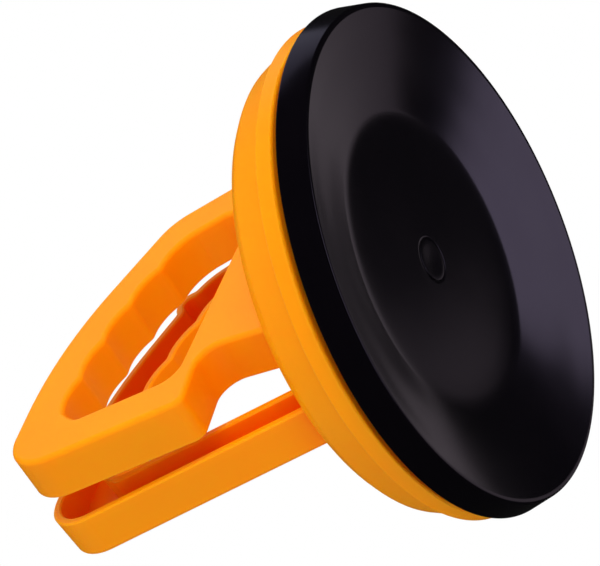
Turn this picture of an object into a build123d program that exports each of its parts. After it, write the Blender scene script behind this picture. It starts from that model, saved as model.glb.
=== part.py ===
# Hand-held vacuum suction cup with a squeeze grip.
#
# A thick rubber cup is held by a round moulded body. A fixed grip stands across the back of the body
# and a squeeze lever hangs beside it on a hinge pin. The foot of the lever reaches through the fixed
# grip, over the stud that is bonded to the middle of the rubber. Squeezing the lever against the fixed
# grip lifts the stud, which draws the middle of the cup up and makes the vacuum under it.
#
# Millimetres. Z = 0 is the plane of the sealing rim and Z points from the cup to the grips. X runs
# along the grips, towards their nose. Y is across them: the squeeze lever is on the +Y side.

import os
from math import cos, radians, sin, tan

from build123d import *

os.makedirs("parts", exist_ok=True)

# ---------------------------------------------------------------- driving dimensions
# Rubber cup
cup_radius = 59.0
cup_taper = 1.5
cup_edge_height = 6.7
lip_width = 1.1
lip_slope_width = 6.2
lip_slope_depth = 2.3
dish_depth = 6.9
dish_sag = 1.3
rubber_thickness = 4.3
rubber_pad_radius = 17.0
collar_wall = 3.2
dome_drop = 0.9
plug_radius = 4.8
plug_proud = 0.4

# Round body
body_inset = 1.4
body_groove = 1.9
skirt_wall = 2.8
flange_height = 4.2
flange_step = 1.3
band_height = 8.6
band_taper = 3.0
back_chamfer = 2.6
shoulder_round = 3.0
back_round = 2.0
back_wall = 2.6
collar_height = 3.4
rib_thickness = 2.0
foot_fillet = 2.0
rib_height = 5.4
rib_count = 8
hub_wall = 4.0

# Stud that lifts the middle of the rubber
stud_radius = 4.5
stud_flange_radius = 12.0
stud_flange_height = 1.5
spreader_radius = 15.5
spreader_height = 1.2
spreader_step = 0.9
eye_half_width = 4.0

# Grips
grip_top = 92.0
fixed_grip_rise = 1.5
grip_thickness = 10.2
left_lean = 65.4
right_lean = 11.6
left_shoulder = 9.9
right_shoulder = 4.1
knuckle_drop = 22.0
crown_x = 18.9
crown_drop = 2.2
knuckle_round = 14.0
crown_round = 95.0
nose_round = 10.0
left_bar = 11.4
right_bar = 10.6
scallop_count = 5
scallop_depth = 1.5
cusp_round = 2.5
hole_round = 6.0
hole_left_drop = 30.5
hole_middle_drop = 17.8
hole_middle_shift = 5.9
hole_right_drop = 12.3
hole_shoulder_drop = 4.2
hole_shoulder_round = 3.0
channel_wall = 2.0
channel_floor = 2.8
channel_foot = 1.5
thumb_stop_radius = 4.0
thumb_stop_x = -12.0
thumb_stop_drop = 19.9
thumb_stop_round = 1.5

# Squeeze lever
lever_thickness = 11.0
open_angle = 4.3
closed_gap = 3.2
lever_rise = 2.3
arm_right_height = 27.3
arm_left_height = 21.5
arm_depth = 4.4
arm_left_depth = 5.5
arm_corner_round = 3.0
arm_slope = 22.0
arm_slope_start = 25.3
arm_slope_height = 8.0
web_thickness = 4.8
web_clearance = 3.4
web_round = 6.0
web_flare_height = 8.0
web_flare_sag = 0.75
web_bottom = 7.0
foot_half_width = 13.0
foot_half_height = 4.0
barrel_radius = 4.8

# Pins, washers and clips
hinge_offset = 18.0
hinge_height = 6.0
hinge_pin_radius = 2.5
lift_pin_radius = 2.0
pin_head_height = 1.3
pin_head_margin = 1.6
groove_depth = 0.5
clip_thickness = 0.8
clip_margin = 1.7
washer_thickness = 0.8
washer_margin = 1.6
lug_thickness = 4.5
lug_margin = 3.2
lug_spread = 2.6
pin_tail = 1.2
eye_side_gap = 0.4
eye_end_gap = 1.6
eye_play = 0.5

# Clearances
running_fit = 0.06
side_gap = 0.05
rubber_gap = 0.3
edge_round = 1.2
small_round = 0.5
rim_chamfer = 0.35
cut_margin = 5.0
tiny = 0.01

# ---------------------------------------------------------------- worked-out sizes
rim_radius = cup_radius - cup_taper
flange_radius = cup_radius - body_inset
skirt_radius = flange_radius - skirt_wall
collar_radius = skirt_radius - rubber_gap
body_front = cup_edge_height + body_groove
seat_z = body_front + collar_height
band_z = body_front + flange_height
band_radius = flange_radius - flange_step
back_edge_radius = band_radius - band_taper
back_radius = back_edge_radius - back_chamfer
back_edge_z = band_z + band_height
back_z = back_edge_z + back_chamfer
plate_z = back_z - back_wall
rib_z = plate_z - rib_height
pad_z = dish_depth + rubber_thickness
spreader_z = pad_z + spreader_height
flange_top_z = spreader_z + stud_flange_height
bore_radius = stud_radius + running_fit

hinge_z = back_z + hinge_height
hinge_y = -hinge_offset
grip_half = grip_thickness / 2
left_base_x = -(back_radius - left_shoulder)
right_base_x = back_radius - right_shoulder
arch_rounds = [knuckle_round, crown_round, nose_round]
washer_x = foot_half_width + side_gap
lug_x = washer_x + washer_thickness + side_gap
lug_end_x = lug_x + lug_thickness
lift_washer_end_x = washer_x + washer_thickness


def left_x(z):
    """X of the outer edge of the left bar of a grip at height z."""
    return left_base_x + (z - back_z) / tan(radians(left_lean))


def right_x(z):
    """X of the outer edge of the right bar of a grip at height z."""
    return right_base_x + (z - back_z) * tan(radians(right_lean))


def inner_left_x(z):
    return left_x(z) + left_bar


def inner_right_x(z):
    return right_x(z) - right_bar


def arch_corners(top, base_z):
    """Knuckle, crown and nose of a grip's arch, as points (x, height above base_z)."""
    knuckle_z = top - knuckle_drop
    knuckle = (left_x(knuckle_z), knuckle_z - base_z)
    crown = (crown_x, top - crown_drop - base_z)
    nose = (right_x(top), top - base_z)
    return [knuckle, crown, nose]


def finger_hole(bottom_left, bottom_right, base_z):
    """Sketch of a finger hole: rounded scallops under the top bar and plain bars at both ends."""
    hole_top = grip_top - base_z
    first_z = hole_top - hole_left_drop
    last_z = hole_top - hole_right_drop
    shoulder_z = last_z - hole_shoulder_drop
    first = (inner_left_x(first_z + base_z), first_z)
    middle = (crown_x - hole_middle_shift, hole_top - hole_middle_drop)
    last = (inner_right_x(last_z + base_z) - hole_shoulder_drop, last_z)
    shoulder = (inner_right_x(shoulder_z + base_z), shoulder_z)
    under_bar = ThreePointArc(first, middle, last)
    cusps = [under_bar @ (i / scallop_count) for i in range(scallop_count + 1)]
    with BuildSketch() as hole:
        with BuildLine():
            for start, end in zip(cusps, cusps[1:]):
                SagittaArc(start, end, scallop_depth)
            Polyline(cusps[-1], shoulder, bottom_right, bottom_left, cusps[0])
        make_face()
        fillet(corners_at(hole, cusps[1:-1]), cusp_round)
        fillet(corners_at(hole, [Vector(*first), Vector(*shoulder)]), hole_shoulder_round)
        fillet(hole.vertices().sort_by(Axis.Y)[:2], hole_round)
    return hole.sketch


def lies_at(edge, plane):
    """True where an edge lies in a plane."""
    ends = [plane.to_local_coords(edge @ t).Z for t in (0, 0.5, 1)]
    return max(abs(z) for z in ends) < tiny


def corners_at(sketch, points):
    """The sketch's corners that lie on the given points."""
    return [v for v in sketch.vertices() if min((Vector(v) - p).length for p in points) < tiny]


# ---------------------------------------------------------------- round body with the fixed grip
# One moulding. The skirt takes the collar of the rubber, the hub guides the stud, and the fixed grip
# is a channel that stands across the back, open towards the squeeze lever.
foot_z = plate_z + small_round
fixed_top = grip_top + fixed_grip_rise


def fixed_grip_side():
    """Side view of the fixed grip: the arch, open at the bottom where it stands on the body."""
    hole_z = plate_z - hole_round
    foot_left = (left_x(foot_z), foot_z)
    foot_right = (right_x(foot_z), foot_z)
    hole = finger_hole((inner_left_x(hole_z), hole_z), (inner_right_x(hole_z), hole_z), 0)
    with BuildSketch() as side:
        with BuildLine():
            arch = FilletPolyline(foot_left, *arch_corners(fixed_top, 0), foot_right, radius=arch_rounds)
            Line(arch @ 1, arch @ 0)
        make_face()
        add(hole, mode=Mode.SUBTRACT)
        with Locations((thumb_stop_x, fixed_top - thumb_stop_drop)) as centres:
            Circle(thumb_stop_radius)
        centre = centres.locations[0].position
        ends = [v for v in side.vertices() if abs((Vector(v) - centre).length - thumb_stop_radius) < tiny]
        fillet(ends, thumb_stop_round)
    return side.sketch


fixed_grip = fixed_grip_side()
with BuildPart() as grip_blank:
    with BuildSketch(Plane.XZ):
        add(fixed_grip)
    extrude(amount=grip_half, both=True)
    outer_edges = grip_blank.edges().group_by(Axis.Y)[0].filter_by(lambda e: e.center().Z > foot_z + tiny)
    fillet(outer_edges, edge_round)

with BuildPart() as handle_body:
    with BuildSketch(Plane.XZ):
        with BuildLine():
            Polyline(
                (skirt_radius, body_front),
                (flange_radius, body_front),
                (flange_radius, band_z),
                (band_radius, band_z + small_round),
                (back_edge_radius, back_edge_z),
                (back_radius, back_z),
                (bore_radius, back_z),
                (bore_radius, rib_z),
                (bore_radius + hub_wall, rib_z),
                (bore_radius + hub_wall, plate_z),
                (back_radius - back_wall, plate_z),
                (back_edge_radius - back_wall, back_edge_z - back_wall / 2),
                (skirt_radius - back_wall, seat_z),
                (skirt_radius, seat_z),
                close=True,
            )
        make_face()
    revolve(axis=Axis.Z)
    ring_rounds = ((back_edge_radius, shoulder_round), (back_radius, back_round), (flange_radius, small_round))
    for ring, softness in ring_rounds:
        circles = handle_body.edges().filter_by(GeomType.CIRCLE)
        fillet(circles.filter_by(lambda e: abs(e.radius - ring) < tiny), softness)
    # Ribs under the back wall, from the hub to the skirt
    rib_start = bore_radius + hub_wall / 2
    rib_end = back_radius - back_wall + small_round
    with BuildSketch(Plane.XY.offset(rib_z)):
        with PolarLocations(0, rib_count, start_angle=180.0 / rib_count):
            with Locations(((rib_start + rib_end) / 2, 0)):
                Rectangle(rib_end - rib_start, rib_thickness)
    extrude(amount=rib_height)
    # Fixed grip
    add(grip_blank.part)
    foot_edges = handle_body.edges().filter_by(lambda e: abs(e.center().Z - back_z) < tiny)
    foot_edges = foot_edges.filter_by(lambda e: abs(e.center().Y) < grip_half + tiny)
    fillet(foot_edges.filter_by(GeomType.LINE), foot_fillet)
    # Channel of the grip, closed at its feet
    with BuildSketch(Plane.XZ.offset(-grip_half)):
        add(fixed_grip)
        offset(amount=-channel_wall)
        with Locations((0, back_z)):
            Rectangle(4 * cup_radius, 2 * (foot_fillet + channel_foot), mode=Mode.SUBTRACT)
    extrude(amount=grip_thickness - channel_floor, mode=Mode.SUBTRACT)
    rim_edges = [e for e in handle_body.edges() if lies_at(e, Plane.XZ.offset(-grip_half))]
    rim_edges = [e for e in rim_edges if e.center().Z > back_z + foot_fillet + tiny]
    chamfer(rim_edges, rim_chamfer)
    # Lugs for the hinge pin
    lug_radius = hinge_pin_radius + lug_margin
    for start_x in (lug_x, -lug_end_x):
        with BuildSketch(Plane.YZ.offset(start_x)):
            with BuildLine():
                Polyline(
                    (hinge_y - lug_radius - lug_spread, back_z - small_round),
                    (hinge_y - lug_radius, hinge_z),
                    (hinge_y + lug_radius, hinge_z),
                    (hinge_y + lug_radius + lug_spread, back_z - small_round),
                    close=True,
                )
            make_face()
            with Locations((hinge_y, hinge_z)):
                Circle(lug_radius)
        extrude(amount=lug_thickness)
    with BuildSketch(Plane.YZ):
        with Locations((hinge_y, hinge_z)):
            Circle(hinge_pin_radius + running_fit)
    extrude(amount=lug_end_x + cut_margin, both=True, mode=Mode.SUBTRACT)

# ---------------------------------------------------------------- squeeze lever
# One moulding that hangs on the hinge pin. Its grip matches the fixed grip. An arm closes the finger
# hole, slopes inwards and turns into a thin web, and the foot runs from the web, under the fixed grip
# and over the stud, to the barrel on the hinge pin.
lever_offset = grip_half + closed_gap - hinge_y


def lever_point(depth, height):
    """World (y, z) of a point depth outwards from the lever's inner face, height above the hinge."""
    out = lever_offset + depth
    y = hinge_y + out * cos(radians(open_angle)) + height * sin(radians(open_angle))
    z = hinge_z - out * sin(radians(open_angle)) + height * cos(radians(open_angle))
    return (y, z)


def lever_plane(depth):
    """Side view plane of the lever at that depth, with its origin level with the hinge."""
    y, z = lever_point(depth, 0)
    tilt = radians(open_angle)
    return Plane(origin=(0, y, z), x_dir=(1, 0, 0), z_dir=(0, -cos(tilt), sin(tilt)))


lever_base_z = hinge_z - lever_rise
arm_right_z = back_z + arm_right_height
arm_left_z = back_z + arm_left_height
under_right_z = arm_right_z - arm_depth
under_left_z = arm_left_z - arm_left_depth
web_z = back_z + web_bottom
web_left = inner_left_x(web_z) + web_clearance
web_right = inner_right_x(web_z) - web_clearance


def lever_side():
    """Side view of the lever's grip, arm and web, with its origin level with the hinge."""
    web_start = (web_left, web_z - lever_base_z)
    arm_left = (web_left, under_left_z - lever_base_z)
    corner_left = (left_x(under_left_z), under_left_z - lever_base_z)
    corner_right = (right_x(under_right_z), under_right_z - lever_base_z)
    arm_right = (web_right, under_right_z - lever_base_z)
    web_end = (web_right, web_z - lever_base_z)
    arch = arch_corners(grip_top, lever_base_z)
    corners = [web_start, arm_left, corner_left, *arch, corner_right, arm_right, web_end]
    rounds = [web_round, arm_corner_round, *arch_rounds, arm_corner_round, web_round]
    hole_left = (inner_left_x(arm_left_z), arm_left_z - lever_base_z)
    hole_right = (inner_right_x(arm_right_z), arm_right_z - lever_base_z)
    hole = finger_hole(hole_left, hole_right, lever_base_z)
    with BuildSketch() as side:
        with BuildLine():
            outline = FilletPolyline(*corners, radius=rounds)
            Line(outline @ 1, outline @ 0)
        make_face()
        add(hole, mode=Mode.SUBTRACT)
    return side.sketch


lever_grip = lever_side()
with BuildPart() as squeeze_lever:
    with BuildSketch(lever_plane(0)):
        add(lever_grip)
    extrude(amount=-lever_thickness)
    # The outer face slopes inwards over the arm, then sweeps in to the thin web
    slope_end = arm_slope_start - arm_slope_height
    slope_depth = lever_thickness - arm_slope_height * tan(radians(arm_slope))
    web_end = slope_end - web_flare_height
    outside = lever_thickness + cut_margin
    below = -hinge_height - cut_margin
    with BuildSketch(Plane.YZ.offset(-2 * cup_radius)):
        with BuildLine():
            Polyline(
                lever_point(web_thickness, below),
                lever_point(outside, below),
                lever_point(outside, arm_slope_start),
                lever_point(lever_thickness, arm_slope_start),
                lever_point(slope_depth, slope_end),
            )
            ThreePointArc(
                lever_point(slope_depth, slope_end),
                lever_point(web_thickness + web_flare_sag, (slope_end + web_end) / 2),
                lever_point(web_thickness, web_end),
            )
            Line(lever_point(web_thickness, web_end), lever_point(web_thickness, below))
        make_face()
    extrude(amount=4 * cup_radius, mode=Mode.SUBTRACT)
    # Channel of the grip, open towards the fixed grip, with a solid arm below it
    with BuildSketch(lever_plane(0)):
        add(lever_grip)
        offset(amount=-channel_wall)
        with Locations((0, 0)):
            Rectangle(4 * cup_radius, 2 * (arm_slope_start + channel_wall), mode=Mode.SUBTRACT)
    extrude(amount=-(lever_thickness - channel_floor), mode=Mode.SUBTRACT)
    rim_edges = [e for e in squeeze_lever.edges() if lies_at(e, lever_plane(0))]
    fillet(rim_edges, small_round)
    fillet([e for e in squeeze_lever.edges() if lies_at(e, lever_plane(lever_thickness))], edge_round)
    # Foot and barrel
    foot_top = hinge_z + foot_half_height
    foot_bottom = hinge_z - foot_half_height
    foot_rise = 2 * foot_half_height
    with BuildSketch(Plane.YZ.offset(-foot_half_width)):
        with BuildLine():
            Polyline(
                (hinge_y, foot_bottom),
                (lever_point(web_thickness, 0)[0], foot_bottom),
                lever_point(web_thickness, foot_rise),
                lever_point(0, foot_rise),
                (lever_point(0, 0)[0], foot_top),
                (hinge_y, foot_top),
                close=True,
            )
        make_face()
        with Locations((hinge_y, hinge_z)):
            Circle(barrel_radius)
    extrude(amount=2 * foot_half_width)
    with BuildSketch(Plane.XY.offset(hinge_z)):
        Rectangle(2 * (eye_half_width + eye_side_gap), 2 * (stud_radius + eye_end_gap))
    extrude(amount=foot_half_height + cut_margin, both=True, mode=Mode.SUBTRACT)
    with BuildSketch(Plane.YZ):
        with Locations((hinge_y, hinge_z)):
            Circle(hinge_pin_radius + running_fit)
        with Locations((0, hinge_z)):
            SlotCenterToCenter(2 * eye_play, 2 * (lift_pin_radius + running_fit))
    extrude(amount=foot_half_width + cut_margin, both=True, mode=Mode.SUBTRACT)

# ---------------------------------------------------------------- rubber cup
# One moulding with a sealing lip, a hollow dish, a thick edge and a collar that sits in the skirt.
lip_inner = rim_radius - lip_width
slope_inner = lip_inner - lip_slope_width
collar_inner = collar_radius - collar_wall
plug_hole_radius = plug_radius + running_fit
with BuildPart() as rubber_cup:
    with BuildSketch(Plane.XZ) as cup_section:
        with BuildLine():
            Polyline((slope_inner, lip_slope_depth), (lip_inner, 0), (rim_radius, 0))
            Polyline(
                (rim_radius, 0),
                (cup_radius, cup_edge_height),
                (collar_radius, cup_edge_height),
                (collar_radius, seat_z),
                (collar_inner, seat_z),
                (collar_inner - small_round, cup_edge_height + lip_slope_depth),
            )
            ThreePointArc(
                (collar_inner - small_round, cup_edge_height + lip_slope_depth),
                ((collar_inner + rubber_pad_radius) / 2, pad_z - dome_drop),
                (rubber_pad_radius, pad_z),
            )
            Polyline((rubber_pad_radius, pad_z), (plug_hole_radius, pad_z), (plug_hole_radius, dish_depth))
            ThreePointArc(
                (plug_hole_radius, dish_depth),
                ((plug_radius + slope_inner) / 2, dish_depth - dish_sag),
                (slope_inner, lip_slope_depth),
            )
        make_face()
        outer_corners = [v for v in cup_section.vertices() if v.X > rim_radius - tiny]
        fillet(outer_corners, small_round)
    revolve(axis=Axis.Z)

# ---------------------------------------------------------------- lifting parts bonded to the rubber
with BuildPart() as centre_plug:
    with BuildSketch(Plane.XY.offset(dish_depth - plug_proud)):
        Circle(plug_radius)
    extrude(amount=pad_z - dish_depth + plug_proud)
    fillet(centre_plug.edges().group_by(Axis.Z)[0], plug_proud)

spreader_bore = stud_radius - spreader_step
with BuildPart() as spreader_disc:
    with BuildSketch(Plane.XY.offset(pad_z)):
        Circle(spreader_radius)
        Circle(spreader_bore, mode=Mode.SUBTRACT)
    extrude(amount=spreader_height)

with BuildPart() as lift_stud:
    with BuildSketch(Plane.XZ):
        with BuildLine():
            Polyline(
                (0, pad_z),
                (spreader_bore - running_fit, pad_z),
                (spreader_bore - running_fit, spreader_z),
                (stud_flange_radius, spreader_z),
                (stud_flange_radius, flange_top_z),
                (stud_radius, flange_top_z),
                (stud_radius, hinge_z),
                (0, hinge_z),
                close=True,
            )
        make_face()
    revolve(axis=Axis.Z)
    with BuildSketch(Plane.YZ):
        with Locations((0, hinge_z)):
            Circle(stud_radius)
    extrude(amount=eye_half_width, both=True)
    # Flats on both sides of the eye
    with BuildSketch(Plane.XY.offset(back_z + small_round)):
        with Locations((stud_radius + eye_half_width, 0), (-stud_radius - eye_half_width, 0)):
            Rectangle(2 * stud_radius, 3 * stud_radius)
    extrude(amount=hinge_height + stud_radius + cut_margin, mode=Mode.SUBTRACT)
    with BuildSketch(Plane.YZ):
        with Locations((0, hinge_z)):
            Circle(lift_pin_radius + running_fit)
    extrude(amount=stud_radius + cut_margin, both=True, mode=Mode.SUBTRACT)


# ---------------------------------------------------------------- pins, washers and clips
def pin(y, radius, shoulder_x):
    """A headed steel pin along X, grooved for its clip just outside shoulder_x."""
    head_radius = radius + pin_head_margin
    tail_x = shoulder_x + 2 * side_gap + clip_thickness + pin_tail
    with BuildPart() as piece:
        with BuildSketch(Plane.YZ.offset(-shoulder_x - side_gap - pin_head_height)):
            with Locations((y, hinge_z)):
                Circle(head_radius)
        extrude(amount=pin_head_height)
        fillet(piece.edges().group_by(Axis.X)[0], small_round)
        with BuildSketch(Plane.YZ.offset(-shoulder_x - side_gap)):
            with Locations((y, hinge_z)):
                Circle(radius)
        extrude(amount=tail_x + shoulder_x + side_gap)
        chamfer(piece.edges().group_by(Axis.X)[-1], small_round)
        with BuildSketch(Plane.YZ.offset(shoulder_x + side_gap)):
            with Locations((y, hinge_z)):
                Circle(head_radius)
                Circle(radius - groove_depth, mode=Mode.SUBTRACT)
        extrude(amount=clip_thickness + 2 * side_gap, mode=Mode.SUBTRACT)
    return piece


def clip(y, radius, shoulder_x):
    """A spring steel retaining clip in the groove of a pin, open towards +Z."""
    inner = radius - groove_depth + running_fit
    with BuildPart() as piece:
        with BuildSketch(Plane.YZ.offset(shoulder_x + 2 * side_gap)):
            with Locations((y, hinge_z)):
                Circle(radius + clip_margin)
                Circle(inner, mode=Mode.SUBTRACT)
            with Locations((y, hinge_z + radius + clip_margin)):
                Rectangle(2 * inner - small_round, 2 * (radius + clip_margin), mode=Mode.SUBTRACT)
        extrude(amount=clip_thickness)
    return piece


def washer(y, radius, x):
    """A nylon washer on a pin, with its inner face at x."""
    with BuildPart() as piece:
        with BuildSketch(Plane.YZ.offset(x)):
            with Locations((y, hinge_z)):
                Circle(radius + washer_margin)
                Circle(radius + running_fit, mode=Mode.SUBTRACT)
        extrude(amount=washer_thickness)
    return piece


hinge_pin = pin(hinge_y, hinge_pin_radius, lug_end_x)
hinge_pin_clip = clip(hinge_y, hinge_pin_radius, lug_end_x)
hinge_washer_right = washer(hinge_y, hinge_pin_radius, washer_x)
hinge_washer_left = washer(hinge_y, hinge_pin_radius, -washer_x - washer_thickness)
lift_pin = pin(0, lift_pin_radius, lift_washer_end_x)
lift_pin_clip = clip(0, lift_pin_radius, lift_washer_end_x)
lift_washer_right = washer(0, lift_pin_radius, washer_x)
lift_washer_left = washer(0, lift_pin_radius, -washer_x - washer_thickness)

# ---------------------------------------------------------------- one STEP file for each piece
pieces = {
    "handle_body": handle_body,
    "squeeze_lever": squeeze_lever,
    "rubber_cup": rubber_cup,
    "centre_plug": centre_plug,
    "spreader_disc": spreader_disc,
    "lift_stud": lift_stud,
    "lift_pin": lift_pin,
    "lift_pin_clip": lift_pin_clip,
    "lift_washer_left": lift_washer_left,
    "lift_washer_right": lift_washer_right,
    "hinge_pin": hinge_pin,
    "hinge_pin_clip": hinge_pin_clip,
    "hinge_washer_left": hinge_washer_left,
    "hinge_washer_right": hinge_washer_right,
}
for name, piece in pieces.items():
    piece.part.label = name
    export_step(piece.part, f"parts/{name}.step")
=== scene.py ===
# A hand-held vacuum suction cup: a black rubber cup in an orange moulded body, with a fixed grip across
# its back and a squeeze lever hinged beside it. Everything is in metres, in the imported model's own frame:
# Z = 0 is the plane of the sealing rim and +Z points from the cup to the grips.

import math

import bmesh
import bpy
from mathutils import Matrix, Vector
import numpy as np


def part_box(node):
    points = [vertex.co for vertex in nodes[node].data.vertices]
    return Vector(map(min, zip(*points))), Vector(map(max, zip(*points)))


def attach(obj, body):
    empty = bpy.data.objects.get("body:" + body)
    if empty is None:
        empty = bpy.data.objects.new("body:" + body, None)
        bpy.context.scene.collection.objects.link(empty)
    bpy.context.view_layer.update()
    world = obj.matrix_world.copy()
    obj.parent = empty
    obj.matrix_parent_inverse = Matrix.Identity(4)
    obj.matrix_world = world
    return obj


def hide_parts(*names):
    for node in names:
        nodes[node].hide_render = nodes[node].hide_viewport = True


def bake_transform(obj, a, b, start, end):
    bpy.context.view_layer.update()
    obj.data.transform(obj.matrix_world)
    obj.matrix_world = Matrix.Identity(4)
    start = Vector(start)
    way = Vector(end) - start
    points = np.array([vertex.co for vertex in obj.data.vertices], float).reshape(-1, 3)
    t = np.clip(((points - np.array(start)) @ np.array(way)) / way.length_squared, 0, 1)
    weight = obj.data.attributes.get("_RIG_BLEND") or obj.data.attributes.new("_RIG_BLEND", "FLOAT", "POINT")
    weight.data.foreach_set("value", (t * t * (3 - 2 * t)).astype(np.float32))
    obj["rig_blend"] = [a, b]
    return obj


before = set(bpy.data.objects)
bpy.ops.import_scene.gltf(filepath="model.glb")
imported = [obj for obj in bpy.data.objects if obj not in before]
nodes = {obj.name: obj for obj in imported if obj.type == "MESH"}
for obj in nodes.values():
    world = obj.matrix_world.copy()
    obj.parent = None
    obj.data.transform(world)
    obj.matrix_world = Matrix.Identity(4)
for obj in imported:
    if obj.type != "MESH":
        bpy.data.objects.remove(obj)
bpy.context.view_layer.update()
scene = bpy.context.scene
mm = 0.001

# ---------------------------------------------------------------- camera
# A long lens looks at the working face from below and beside it, with the grips behind, at the lower left.
camera_place = Vector((501.4, 304.2, -290.3)) * mm
camera_right = Vector((-0.2109, -0.5422, -0.8134))
camera_up = Vector((-0.6279, 0.7129, -0.3124))
camera_back = Vector((0.7492, 0.4448, -0.4908))

camera = bpy.data.objects.new("camera", bpy.data.cameras.new("camera"))
camera.data.lens = 180
camera.data.sensor_width = 36
camera.data.clip_start = 0.01
scene.collection.objects.link(camera)
axes = Matrix((camera_right, camera_up, camera_back)).transposed()
camera.matrix_world = Matrix.Translation(camera_place) @ axes.to_4x4()
scene.camera = camera
scene.view_settings.view_transform = "Standard"

# ---------------------------------------------------------------- orange mouldings
# The body with its fixed grip, and the squeeze lever: two injection mouldings in ABS, straight from a
# fine-textured mould. The plastic lets a little light in. Deep channels also get a painted red-orange glow,
# painted shade that stands in for light bounced between the walls, and edges get a painted pale highlight;
# the skin has the faint waviness and soft gloss of a moulding.


def linear(code):
    """An sRGB hex colour, as the linear colour that a socket takes."""
    channels = [int(code[i:i + 2], 16) / 255 for i in (1, 3, 5)]
    return [*(c / 12.92 if c <= 0.04045 else ((c + 0.055) / 1.055) ** 2.4 for c in channels), 1]


def add_node(tree, kind, settings=(), links=(), **values):
    """Adds a node: settings are its own, links go from an output socket to one of its inputs."""
    made = tree.nodes.new(kind)
    for name, value in dict(settings).items():
        setattr(made, name, value)
    for name, value in values.items():
        made.inputs[name.replace("_", " ")].default_value = value
    for name, source in dict(links).items():
        tree.links.new(source, made.inputs[name])
    return made


def new_material(name):
    """A new material's tree, its Principled shader and its Object coordinates."""
    material = bpy.data.materials.new(name)
    material.use_nodes = True
    tree = material.node_tree
    place = add_node(tree, "ShaderNodeTexCoord").outputs["Object"]
    return material, tree, tree.nodes["Principled BSDF"], place


def blend_colours(tree, factor, first, second):
    """A colour between two sRGB hex colours."""
    mix = add_node(tree, "ShaderNodeMix", {"data_type": "RGBA"}, {0: factor})
    mix.inputs[6].default_value = linear(first)
    mix.inputs[7].default_value = linear(second)
    return mix.outputs[2]


def spread(tree, value, low, high):
    """A value of 0 to 1, spread from low to high."""
    made = add_node(tree, "ShaderNodeMapRange", (), {"Value": value}, To_Min=low, To_Max=high)
    return made.outputs[0]


def use_material(piece, material):
    piece.data.materials.clear()
    piece.data.materials.append(material)


flow_size = 30 * mm      # clouds of colour where the melt ran
wave_size = 9 * mm       # faint sink and waviness of the skin
painted_glow_reach = 9 * mm   # painted shade: the colour turns redder where walls face each other this near
painted_rim_reach = 0.8 * mm    # and a painted pale highlight this far in from an edge
grain_size = 0.8 * mm    # the mould's spark-eroded grain, coarser than the real 0.1 mm so that it shows

orange_abs, tree, shader, place = new_material("moulded_abs_orange")
flow = add_node(tree, "ShaderNodeTexNoise", (), {"Vector": place}, Scale=1 / flow_size, Detail=3.0)
wave = add_node(tree, "ShaderNodeTexNoise", (), {"Vector": place}, Scale=1 / wave_size, Detail=1.0)
grain = add_node(tree, "ShaderNodeTexNoise", (), {"Vector": place}, Scale=1 / grain_size, Detail=2.0)
waves = add_node(tree, "ShaderNodeBump", (), {"Height": wave.outputs[0]}, Strength=0.2, Distance=0.2 * mm)
skin = add_node(tree, "ShaderNodeBump", (), {"Height": grain.outputs[0], "Normal": waves.outputs[0]},
                Strength=0.2, Distance=0.02 * mm)
near = {"only_local": True}
depth = add_node(tree, "ShaderNodeAmbientOcclusion", near, (), Distance=painted_glow_reach)
edges = add_node(tree, "ShaderNodeAmbientOcclusion", {**near, "inside": True}, (), Distance=painted_rim_reach)
body_colour = blend_colours(tree, flow.outputs[0], "#FF9000", "#FF9C00")
# Painted shade: red-orange is painted where the walls close in, standing in for shade and bounced light
painted_shade_glow = add_node(tree, "ShaderNodeMix", {"data_type": "RGBA"}, {0: depth.outputs["AO"], 7: body_colour})
painted_shade_glow.inputs[6].default_value = linear("#FF5A00")
# Painted highlight: pale yellow is painted along thin edges, where rounded edges would catch the light
painted_rim_highlight = add_node(tree, "ShaderNodeMix", {"data_type": "RGBA"}, {0: edges.outputs["AO"], 7: painted_shade_glow.outputs[2]})
painted_rim_highlight.inputs[6].default_value = linear("#FFAE1E")
tree.links.new(painted_rim_highlight.outputs[2], shader.inputs["Base Color"])
tree.links.new(spread(tree, grain.outputs[0], 0.32, 0.44), shader.inputs["Roughness"])
tree.links.new(skin.outputs[0], shader.inputs["Normal"])
shader.inputs["IOR"].default_value = 1.53
shader.inputs["Specular IOR Level"].default_value = 0.35
shader.inputs["Specular Tint"].default_value = linear("#FFD09A")
shader.inputs["Subsurface Weight"].default_value = 0.6
shader.inputs["Subsurface Radius"].default_value = (1.0, 0.3, 0.05)
shader.inputs["Subsurface Scale"].default_value = 4.0 * mm

for name in ("handle_body", "squeeze_lever"):
    use_material(nodes[name], orange_abs)

# ---------------------------------------------------------------- rubber cup
# One moulding in black rubber. A narrow flat lip seals, the dish inside it is hollow, and the thick edge
# and the collar behind it sit in the body. Its middle is bonded to the steel spreader, so it domes up
# with the stud while the edge stays on the panel.
cup_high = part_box("rubber_cup")[1]
plug_low, plug_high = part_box("centre_plug")
facet_loss = 0.1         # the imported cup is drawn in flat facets, a little inside its true circle
cup_radius = cup_high.x / mm + facet_loss
plug_radius = plug_high.x / mm
back_height = cup_high.z / mm
pad_height = plug_high.z / mm
plug_front = plug_low.z / mm


def round_corner(before, corner, after, reach, steps=6):
    """A corner of a profile rounded off, from reach before the corner to reach after it."""
    before, corner, after = (Vector(point) for point in (before, corner, after))
    start = corner + (before - corner).normalized() * reach
    end = corner + (after - corner).normalized() * reach
    shares = [i / steps for i in range(steps + 1)]
    return [start * (1 - t) ** 2 + corner * 2 * t * (1 - t) + end * t ** 2 for t in shares]


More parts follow.
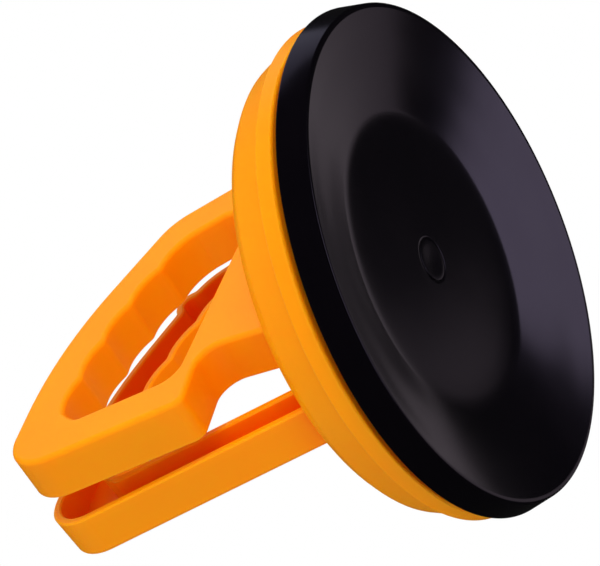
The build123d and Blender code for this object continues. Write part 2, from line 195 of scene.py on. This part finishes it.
def smooth_run(points, steps):
    """A smooth curve through points of a profile (Catmull-Rom)."""
    found = []
    ends = [points[0], *points, points[-1]]
    for p, q, r, s in zip(ends, ends[1:], ends[2:], ends[3:]):
        p, q, r, s = (Vector(v) for v in (p, q, r, s))
        for i in range(steps):
            t = i / steps
            bend = (3 * q - p - 3 * r + s) * t ** 3 + (2 * p - 5 * q + 4 * r - s) * t ** 2
            found.append(q + (bend + (r - p) * t) / 2)
    return [*found, Vector(points[-1])]


def lathe(name, profile, turns=256):
    """A closed profile of (radius, height) points in millimetres, turned about Z."""
    mesh = bpy.data.meshes.new(name + "_profile")
    count = len(profile)
    edges = [(i, (i + 1) % count) for i in range(count)]
    mesh.from_pydata([(r * mm, 0, z * mm) for r, z in profile], edges, [])
    shape = bpy.data.objects.new(name, mesh)
    scene.collection.objects.link(shape)
    screw = shape.modifiers.new("turn", "SCREW")
    screw.steps = screw.render_steps = turns
    screw.use_merge_vertices = True
    screw.merge_threshold = 0.001 * mm
    shape.data = bpy.data.meshes.new_from_object(shape.evaluated_get(bpy.context.evaluated_depsgraph_get()))
    shape.modifiers.remove(screw)
    shape.data.name = name
    skin = bmesh.new()
    skin.from_mesh(shape.data)
    bmesh.ops.recalc_face_normals(skin, faces=skin.faces)
    skin.to_mesh(shape.data)
    skin.free()
    shape.data.shade_smooth()
    return shape


lip_radius = cup_radius - 1.5
lip_inner = lip_radius - 1.1
edge_height = 6.7
collar_radius = 54.5
collar_inner = 51.3
plug_sink = 0.4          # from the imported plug's face up to the dish
plug_fit = 0.06
dish_depth = plug_front + plug_sink
hole_radius = plug_radius + plug_fit
# A nearly flat middle out to 34 mm, then a cone down to the lip
dish = smooth_run([
    (hole_radius, dish_depth), (14, dish_depth - 0.03), (23, dish_depth - 0.12), (29.5, dish_depth - 0.3),
    (33.6, dish_depth - 0.62), (36.6, dish_depth - 1.3), (44, dish_depth - 3.4), (50.4, 1.75),
    (54.4, 0.58), (lip_inner, 0.0)], 8)
# The hidden back climbs from inside the collar to the pad under the spreader
back = smooth_run([
    (collar_inner, 8.9), (44, 8.85), (34, 9.35), (24, 10.45), (17, pad_height)], 6)
lip_round = 0.5
profile = [
    *dish,
    *round_corner((lip_inner, 0), (lip_radius, 0), (cup_radius, edge_height), lip_round),
    *round_corner((lip_radius, 0), (cup_radius, edge_height), (collar_radius, edge_height), lip_round),
    (collar_radius, edge_height), (collar_radius, back_height), (collar_inner, back_height),
    *back,
    (hole_radius, pad_height),
]
cup = lathe("rubber_cup_soft", profile)

ring_size = 0.7 * mm     # turning marks left by the mould, coarser than the real 0.1 mm so that they show
bloom_size = 14 * mm     # cloudy bloom of wax on the rubber's skin
pore_size = 0.5 * mm     # fine pores of the skin, coarser than the real 0.1 mm so that they show

black_rubber, tree, shader, place = new_material("moulded_rubber_black")
bloom = add_node(tree, "ShaderNodeTexNoise", (), {"Vector": place}, Scale=1 / bloom_size, Detail=4.0)
pores = add_node(tree, "ShaderNodeTexNoise", (), {"Vector": place}, Scale=1 / pore_size, Detail=2.0)
flat = add_node(tree, "ShaderNodeVectorMath", {"operation": "MULTIPLY"}, {0: place})
flat.inputs[1].default_value = (1, 1, 0)
radius = add_node(tree, "ShaderNodeVectorMath", {"operation": "LENGTH"}, {0: flat.outputs[0]})
phase = add_node(tree, "ShaderNodeMath", {"operation": "MULTIPLY"}, {0: radius.outputs["Value"]})
phase.inputs[1].default_value = math.tau / ring_size
ripple = add_node(tree, "ShaderNodeMath", {"operation": "SINE"}, {0: phase.outputs[0]})
rings = add_node(tree, "ShaderNodeBump", (), {"Height": ripple.outputs[0]}, Strength=0.04, Distance=0.01 * mm)
skin = add_node(tree, "ShaderNodeBump", (), {"Height": pores.outputs[0], "Normal": rings.outputs[0]},
                Strength=0.15, Distance=0.01 * mm)
tree.links.new(blend_colours(tree, bloom.outputs[0], "#040306", "#070508"), shader.inputs["Base Color"])
tree.links.new(spread(tree, bloom.outputs[0], 0.15, 0.21), shader.inputs["Roughness"])
tree.links.new(skin.outputs[0], shader.inputs["Normal"])
shader.inputs["IOR"].default_value = 1.52
shader.inputs["Specular Tint"].default_value = linear("#E2CEF0")
use_material(cup, black_rubber)

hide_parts("rubber_cup")
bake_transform(cup, "cup_body", "stud", start=(0, 0, 0), end=(0, 0, pad_height * mm))
# The rubber is bonded to the spreader, and hangs free from there to the collar
bonded_radius, free_radius = 15.5 * mm, 48 * mm
for point, weight in zip(cup.data.vertices, cup.data.attributes["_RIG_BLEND"].data):
    share = (free_radius - point.co.xy.length) / (free_radius - bonded_radius)
    share = min(max(share, 0), 1)
    weight.value = share * share * (3 - 2 * share)

# ---------------------------------------------------------------- centre plug
# A small plug of the same rubber that closes the hole over the stud. It is pressed in from the front,
# a hair proud of the dish, with a rounded edge and a shallow hollow left by the press.
plug_side = hole_radius - 0.02
plug_face = dish_depth - 0.06
plug_land = 3.7          # the hollow ends here, and a flat rim runs on to the rounded edge
plug_round = 0.22
hollow = smooth_run([(1.2, plug_face + 0.09), (2.6, plug_face + 0.04), (plug_land, plug_face)], 4)
plug_profile = [
    (0, plug_face + 0.10), *hollow,
    *round_corner((plug_land, plug_face), (plug_side, plug_face), (plug_side, pad_height), plug_round),
    (plug_side, pad_height), (0, pad_height),
]
plug = lathe("centre_plug_soft", plug_profile, 128)
use_material(plug, black_rubber)
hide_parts("centre_plug")
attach(plug, "stud")

# ---------------------------------------------------------------- steel parts
# Spreader disc, stud and the two headed pins: turned from free-cutting steel and bright zinc plated,
# which leaves a blue-white metal with slight clouds of colour and the tool's fine marks under it.
cloud_size = 3 * mm      # clouds of the zinc plating
tool_size = 0.4 * mm     # feed marks of the lathe, coarser than the real 0.1 mm so that they show

zinc_steel, tree, shader, place = new_material("turned_steel_zinc_plated")
plate = add_node(tree, "ShaderNodeTexNoise", (), {"Vector": place}, Scale=1 / cloud_size, Detail=4.0)
marks = add_node(tree, "ShaderNodeTexNoise", (), {"Vector": place}, Scale=1 / tool_size, Detail=2.0)
skin = add_node(tree, "ShaderNodeBump", (), {"Height": marks.outputs[0]}, Strength=0.2, Distance=0.01 * mm)
tree.links.new(blend_colours(tree, plate.outputs[0], "#B9BEC6", "#D2D5D8"), shader.inputs["Base Color"])
tree.links.new(spread(tree, plate.outputs[0], 0.22, 0.36), shader.inputs["Roughness"])
tree.links.new(skin.outputs[0], shader.inputs["Normal"])
shader.inputs["Metallic"].default_value = 1.0
for name in ("spreader_disc", "lift_stud", "lift_pin", "hinge_pin"):
    use_material(nodes[name], zinc_steel)

# ---------------------------------------------------------------- retaining clips
# Open rings stamped from hardened spring steel, left with the dark grey skin of the heat treatment.
scale_size = 1.5 * mm    # patches of the heat treatment's skin

spring_steel, tree, shader, place = new_material("stamped_spring_steel")
scale = add_node(tree, "ShaderNodeTexNoise", (), {"Vector": place}, Scale=1 / scale_size, Detail=3.0)
tree.links.new(blend_colours(tree, scale.outputs[0], "#55575B", "#7C7E82"), shader.inputs["Base Color"])
tree.links.new(spread(tree, scale.outputs[0], 0.3, 0.5), shader.inputs["Roughness"])
shader.inputs["Metallic"].default_value = 1.0
for name in ("lift_pin_clip", "hinge_pin_clip"):
    use_material(nodes[name], spring_steel)

# ---------------------------------------------------------------- washers
# Thin moulded nylon washers that keep the lever's barrel and foot off the steel and the lugs. Natural
# nylon is milky and lets light in.
haze_size = 2 * mm       # milky unevenness of the moulding

nylon, tree, shader, place = new_material("moulded_nylon_natural")
haze = add_node(tree, "ShaderNodeTexNoise", (), {"Vector": place}, Scale=1 / haze_size, Detail=2.0)
tree.links.new(blend_colours(tree, haze.outputs[0], "#E6E1D2", "#F1EEE4"), shader.inputs["Base Color"])
tree.links.new(spread(tree, haze.outputs[0], 0.4, 0.55), shader.inputs["Roughness"])
shader.inputs["Subsurface Weight"].default_value = 0.4
shader.inputs["Subsurface Scale"].default_value = 1 * mm
for name in ("lift_washer_left", "lift_washer_right", "hinge_washer_left", "hinge_washer_right"):
    use_material(nodes[name], nylon)

# ---------------------------------------------------------------- studio
# Soft boxes round the object, a white surround, and a pale floor far enough down to clear every view.
middle = Vector((0, 0, 40)) * mm
floor_size = 60
floor_height = -1.15


def soft_box(name, right, up, back, distance, size, power, tint="#FFFFFF"):
    """A soft light in the direction given along the camera's axes, facing the object."""
    direction = (camera_right * right + camera_up * up + camera_back * back).normalized()
    light = bpy.data.lights.new(name, "AREA")
    light.shape = "RECTANGLE"
    light.size, light.size_y = size
    light.energy = power
    light.color = linear(tint)[:3]
    lamp = bpy.data.objects.new(name, light)
    across = camera_up.cross(direction).normalized()
    turned = Matrix((across, direction.cross(across), direction)).transposed()
    lamp.matrix_world = Matrix.Translation(middle + direction * distance) @ turned.to_4x4()
    scene.collection.objects.link(lamp)
    return lamp


soft_box("top_left_box", -0.46, 0.70, -0.54, 0.8, (0.5, 0.5), 0.30, "#E4E4FF")
soft_box("front_box", -0.30, 0.60, 0.75, 0.9, (0.6, 0.6), 4.8).visible_glossy = False
soft_box("right_box", 0.93, 0.36, -0.08, 0.8, (0.24, 0.25), 0.27, "#EAE4FA")
soft_box("low_right_box", 0.70, 0.14, -0.70, 0.8, (0.53, 0.20), 0.10, "#F2E2EC")

world = bpy.data.worlds.new("studio")
scene.world = world
world.use_nodes = True
tree = world.node_tree
# White to the camera, soft to matt surfaces, and nearly black to gloss, so only the boxes make sheens
rays = add_node(tree, "ShaderNodeLightPath")
surround = tree.nodes["Background"]
surround.inputs["Color"].default_value = linear("#FFFFFF")
dim = spread(tree, rays.outputs["Is Diffuse Ray"], 0.01, 0.86)
bright = add_node(tree, "ShaderNodeMath", {"operation": "MAXIMUM"},
                  {0: dim, 1: rays.outputs["Is Camera Ray"]})
tree.links.new(bright.outputs[0], surround.inputs["Strength"])

bpy.ops.mesh.primitive_plane_add(size=floor_size, location=(0, 0, floor_height))
floor = bpy.context.object
floor.name = "floor"
floor.visible_glossy = False
pale, tree, shader, place = new_material("painted_floor_white")
shader.inputs["Base Color"].default_value = linear("#F2F2F2")
shader.inputs["Roughness"].default_value = 0.9
use_material(floor, pale)
